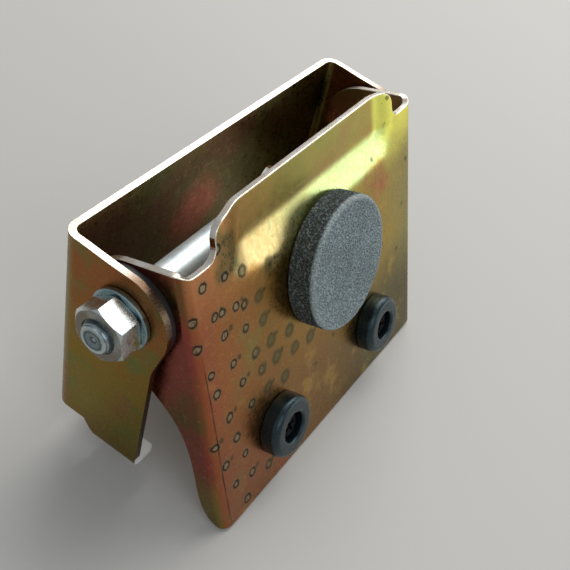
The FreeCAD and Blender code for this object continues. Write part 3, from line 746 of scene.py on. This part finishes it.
def bracket_surface(u, v):
    s, a = (1 if u >= 0 else -1), abs(u)
    w = EAR_OUT - RB
    if a <= w:
        return (u, REAR_Y, v)
    t = (a - w) / RB
    if t <= math.pi / 2:
        return (s * (w + RB * math.sin(t)), REAR_Y - RB * (1 - math.cos(t)), v)
    y = REAR_Y - RB - (a - w - RB * math.pi / 2)
    vb = -51.2 + LB
    if v >= vb or y > 9.0:
        return (s * EAR_OUT, y, v)
    q = vb - v
    if q <= LB * math.pi / 2:
        g = q / LB
        return (s * (EAR_OUT - LB * (1 - math.cos(g))), y, vb - LB * math.sin(g))
    return (s * (EAR_OUT - LB - (q - LB * math.pi / 2)), y, -51.2)


def eu(y):
    """Unfolded coordinate of an ear point."""
    return EAR_OUT - RB + RB * math.pi / 2 + (REAR_Y - RB - y)


def make_bracket():
    top, lobe, low = 13.55, 12.5, -45.8
    vb = -51.2 + LB
    end = vb - LB * math.pi / 2 - (EAR_OUT - LB - 48.6)
    half = [(0, top), (51.0, top)]
    half += chaikin([(51.0, top), (eu(14.0), top - 0.05), (eu(7.0), 12.85), (eu(3.0), 12.62), (eu(0), lobe)], 2)
    half += [(eu(lobe * math.cos(math.radians(a))), lobe * math.sin(math.radians(a))) for a in range(94, 200, 4)]
    half += chaikin([(eu(lobe * math.cos(math.radians(200))), lobe * math.sin(math.radians(200))), (eu(-9.5), -11.6), (eu(-9.3), -14.5), (eu(-8.4), vb)], 2)
    half += [(eu(-8.4), vb - LB * math.pi / 2), (eu(-8.4), end + 0.6), (eu(-7.8), end), (eu(5.6), end), (eu(6.2), end + 0.6),
             (eu(6.2), vb), (eu(6.8), vb + 0.25), (eu(9.2), low)]
    tongue = 34.0
    half += [(tongue + 5.0, low)] + turn(tongue + 5.0, low - 5.0, 5.0, 90, 180, 8) + turn(tongue - 5.0, FLOOR_Z + 5.0, 5.0, 0, -90, 8)
    half += [(0, FLOOR_Z)]
    ring = [2 * math.pi * k / 40 for k in range(40)]
    holes = [[(s * eu(0) + 4.2 * math.cos(a), 4.2 * math.sin(a)) for a in ring] for s in (-1, 1)]
    holes += [[(sx * 30 + 3.3 * math.cos(a), -32 + sz * 15 + 3.3 * math.sin(a)) for a in ring[::2]] for sx in (-1, 1) for sz in (-1, 1)]
    w = EAR_OUT - RB
    e = w + RB * math.pi / 2
    side = lines((w, e, 0.7), (e, 86.5, 2.0))
    us = [-q for q in reversed(side)] + lines((-w, w, 2.2))[1:-1] + side
    vs = lines((-59, -56.0, 1.4), (-56.0, -48.4, 0.6), (-48.4, 14.0, 2.0))

    def paint(tag, c, n):
        # the lips' upward faces and their edges that do not face down get the near-white painted highlight
        if c.z < -0.0484 and c.y < -0.0125:             # the bent lips
            return 3 if (tag == 1 and n.z > 0.8) or (tag == 2 and n.z > -0.4) else 0 if tag < 2 else 2
        # painted light: cut edges facing up get the lit copy, the others the shaded copy
        if tag == 2:
            return 1 if n.z > 0.1 else 2
        return 0
    to_row = Matrix.Translation(PIVOT)
    o = sheet_part("rear_bracket_sheet", closed(half), holes, us, vs, bracket_surface, True,
                   [M_BRACKET, M_EDGE_LIT, M_EDGE_SHADED, M_FOOT, M_ARRIS], paint, to_row, 0.00022)
    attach(o, "bracket")
    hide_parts("rear_bracket")
    return o


make_bracket()
make_plate()
soften(assign("pivot_tube", [M_TUBE]), 0.0003)
soften(assign("pivot_bolt", [M_BOLT]), 0.00006)
soften(assign("pivot_nut", [M_NUT]), 0.00018, 25)
soften(assign("nut_washer", [M_WASHER]), 0.0001)
soften(assign("head_washer", [M_WASHER]), 0.0001)
for side in ("left", "right"):
    soften(assign(f"pivot_bush_{side}", [M_NYLON]), 0.0002)
    soften(assign(f"buffer_insert_{side}", [M_OXIDE]), 0.0001)
    soften(assign(f"buffer_screw_{side}", [M_OXIDE]), 0.0001)
    soften(assign(f"buffer_washer_{side}", [M_WASHER]), 0.0001)
    soften(assign(f"buffer_nut_{side}", [M_NUT]), 0.00012, 25)
assign("pad_adhesive", [M_TAPE])


# ----------------------------------------------------------- soft pieces
def in_row(co):
    return TO_ROW @ Vector(co)


def grid_lathe(name, rings, seg, centre, wobble=None):
    """Closed turned mesh about the plate's normal.  rings: (radius, y) from one pole to the other."""
    bm = bmesh.new()
    loops = []
    for i, (r, y) in enumerate(rings):
        if r < 1e-7:
            loops.append([bm.verts.new((centre[0], y, centre[1]))])
            continue
        loop = []
        for k in range(seg):
            a = 2 * math.pi * k / seg
            loop.append(bm.verts.new((centre[0] + r * math.cos(a), y, centre[1] + r * math.sin(a))))
        loops.append(loop)
    for a, b in zip(loops, loops[1:]):
        for k in range(seg):
            k2 = (k + 1) % seg
            if len(a) == 1:
                bm.faces.new((a[0], b[k], b[k2]))
            elif len(b) == 1:
                bm.faces.new((a[k], b[0], a[k2]))
            else:
                bm.faces.new((a[k], b[k], b[k2], a[k2]))
    if len(loops[0]) > 1 and wobble != "open":      # ring profile closes on itself
        a, b = loops[-1], loops[0]
        for k in range(seg):
            k2 = (k + 1) % seg
            bm.faces.new((a[k], b[k], b[k2], a[k2]))
    bmesh.ops.recalc_face_normals(bm, faces=bm.faces)
    me = bpy.data.meshes.new(name)
    bm.to_mesh(me)
    bm.free()
    for p in me.polygons:
        p.use_smooth = True
    o = bpy.data.objects.new(name, me)
    bpy.context.scene.collection.objects.link(o)
    return o


def arc(cx, cy, r, a0, a1, n):
    return [(cx + r * math.cos(math.radians(a0 + (a1 - a0) * i / n)), cy + r * math.sin(math.radians(a0 + (a1 - a0) * i / n))) for i in range(n + 1)]


def make_foam():
    """Open-cell disc: rounded rim, a slightly uneven outline and a pitted, torn-cell surface."""
    R, thick, yb = 0.0183, 0.0074, -0.0162
    yf = yb - thick
    step = 0.00024
    rr = 0.0013
    rings = [(0.0, yf)]
    r = step * 1.2
    while r < R - rr:
        rings.append((r, yf))
        r += step
    rings += arc(R - rr, yf + rr, rr, -90, 0, 9)
    y = yf + rr + step
    while y < yb - 0.0002:
        rings.append((R, y))
        y += step
    rings += [(R, yb - 0.0001), (R - 0.0004, yb), (R * 0.5, yb), (0.0, yb)]
    cx, cz = 2.3 * MM, -13.3 * MM
    o = grid_lathe("foam_disc", rings, 500, (cx, cz))
    me = o.data
    normals = [v.normal.copy() for v in me.vertices]
    for v, nrm in zip(me.vertices, normals):
        p = v.co
        if p.y > yb - 0.0003:
            continue
        q = Vector((p.x * 1400, p.y * 1400, p.z * 1400))
        d = noise.voronoi(q)[0]
        pit = max(0.0, 0.55 - d[0])
        strand = max(0.0, 0.16 - (d[1] - d[0]))
        big = noise.noise(Vector((p.x * 140, p.y * 140, p.z * 140)))
        fine = noise.noise(q * 2.1)
        k = min(1.0, (yb - p.y) / 0.0012)
        v.co += nrm * k * (-0.00042 * pit + 0.0007 * strand + 0.00010 * big + 0.00006 * fine)
        rad = math.hypot(v.co.x - cx, v.co.z - cz)
        if rad > 0.004:
            a = math.atan2(v.co.z - cz, v.co.x - cx)
            out = 0.00016 * noise.noise(Vector((math.cos(a) * 2.2, math.sin(a) * 2.2, 3.1)))
            f = (rad / R) ** 2
            v.co.x += math.cos(a) * out * f
            v.co.z += math.sin(a) * out * f
    me.transform(TO_ROW)
    me.update()
    me.materials.append(M_FOAM)
    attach(o, "plate")
    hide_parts("foam_pad")
    return o


def make_buffer(side, s):
    """Moulded rubber ring with a full round rim, a soft inner lip and a faint parting line."""
    R, H, ri, fl, rs = 0.00875, 0.0052, 0.00425, 0.0010, 0.0022
    y0 = -0.016
    ro, rl = 0.0019, 0.0008
    prof = [(rs, y0)]
    prof += [(rs + (R - 0.0004 - rs) * i / 6, y0) for i in range(1, 7)]
    prof += arc(R - 0.0004, y0 - 0.0004, 0.0004, 90, 0, 4)[1:]
    h1 = y0 - (H - ro)
    for i in range(1, 8):
        prof.append((R + (0.00006 if i == 4 else 0.0), y0 - 0.0004 + (h1 - y0 + 0.0004) * i / 7))
    prof += arc(R - ro, h1, ro, 0, -90, 12)[1:]
    yt = y0 - H
    for i in range(1, 4):
        prof.append((R - ro + (ri + rl - R + ro) * i / 3, yt))
    prof += arc(ri + rl, yt + rl, rl, -90, -180, 8)[1:]
    for i in range(1, 7):
        prof.append((ri, yt + rl + (y0 - fl - yt - rl) * i / 6))
    prof += [(ri - (ri - rs) * i / 4, y0 - fl) for i in range(1, 5)]
    prof += [(rs, y0 - fl / 2)]
    o = grid_lathe(f"rubber_buffer_{side}", prof, 144, (s * 25.1 * MM, -49.6 * MM))
    me = o.data
    for v in me.vertices:
        if v.co.y < y0 - 0.0006:
            v.co += v.normal * 0.00004 * noise.noise(v.co * 420)
    me.transform(TO_ROW)
    me.materials.append(M_RUBBER)
    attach(o, "plate")
    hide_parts(f"buffer_{side}")
    return o


make_foam()
make_buffer("left", -1)
make_buffer("right", 1)

# --------------------------------------------------------------- studio
low = min(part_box(k)[0].z for k in NODES)
me = bpy.data.meshes.new("studio_floor")
bm = bmesh.new()
bmesh.ops.create_grid(bm, x_segments=1, y_segments=1, size=3.0)
bm.to_mesh(me)
bm.free()
floor = bpy.data.objects.new("studio_floor", me)
floor.location = (0, 0, low - 0.00005)
bpy.context.scene.collection.objects.link(floor)
me.materials.append(floor_mat())

scene = bpy.context.scene
world = bpy.data.worlds.new("studio")
world.use_nodes = True
world.node_tree.nodes["Background"].inputs[0].default_value = (0.86, 0.90, 0.95, 1)
world.node_tree.nodes["Background"].inputs[1].default_value = 0.42
scene.world = world


def area(name, direction, dist, size, radiance, colour=(1, 1, 1), size_y=None):
    l = bpy.data.lights.new(name, "AREA")
    l.shape = "RECTANGLE"
    l.size = size
    l.size_y = size_y or size
    l.energy = radiance * math.pi * l.size * l.size_y
    l.color = colour
    o = bpy.data.objects.new(name, l)
    d = Vector(direction).normalized()
    o.location = Vector((0, -0.02, -0.01)) + d * dist
    o.rotation_euler = (-d).to_track_quat("-Z", "Y").to_euler()
    bpy.context.scene.collection.objects.link(o)
    return o


area("key", (0.66, 0.10, 0.72), 1.1, 1.1, 3.0, (1.0, 0.985, 0.95))
area("front_right", (0.68, -0.72, 0.085), 1.0, 0.8, 1.75, (0.98, 1.0, 0.96), 0.30)
area("front_left", (-0.42, -0.72, 0.60), 0.9, 0.45, 1.7, (0.86, 0.95, 1.0))
area("fill_left", (-0.85, 0.1, 0.5), 1.2, 0.8, 0.3, (0.95, 0.97, 1.0))

cam = bpy.data.cameras.new("camera")
cam.sensor_width = 36
cam.lens = 55.92
cam.clip_start = 0.005
cam.dof.use_dof = False
co = bpy.data.objects.new("camera", cam)
co.location = (-0.162857, -0.099385, 0.146329)
co.rotation_mode = "QUATERNION"
co.rotation_quaternion = Quaternion((0.8286887, 0.2951781, -0.2603392, -0.3979553))
bpy.context.scene.collection.objects.link(co)
scene.camera = co
scene.view_settings.view_transform = "Standard"
scene.view_settings.look = "None"
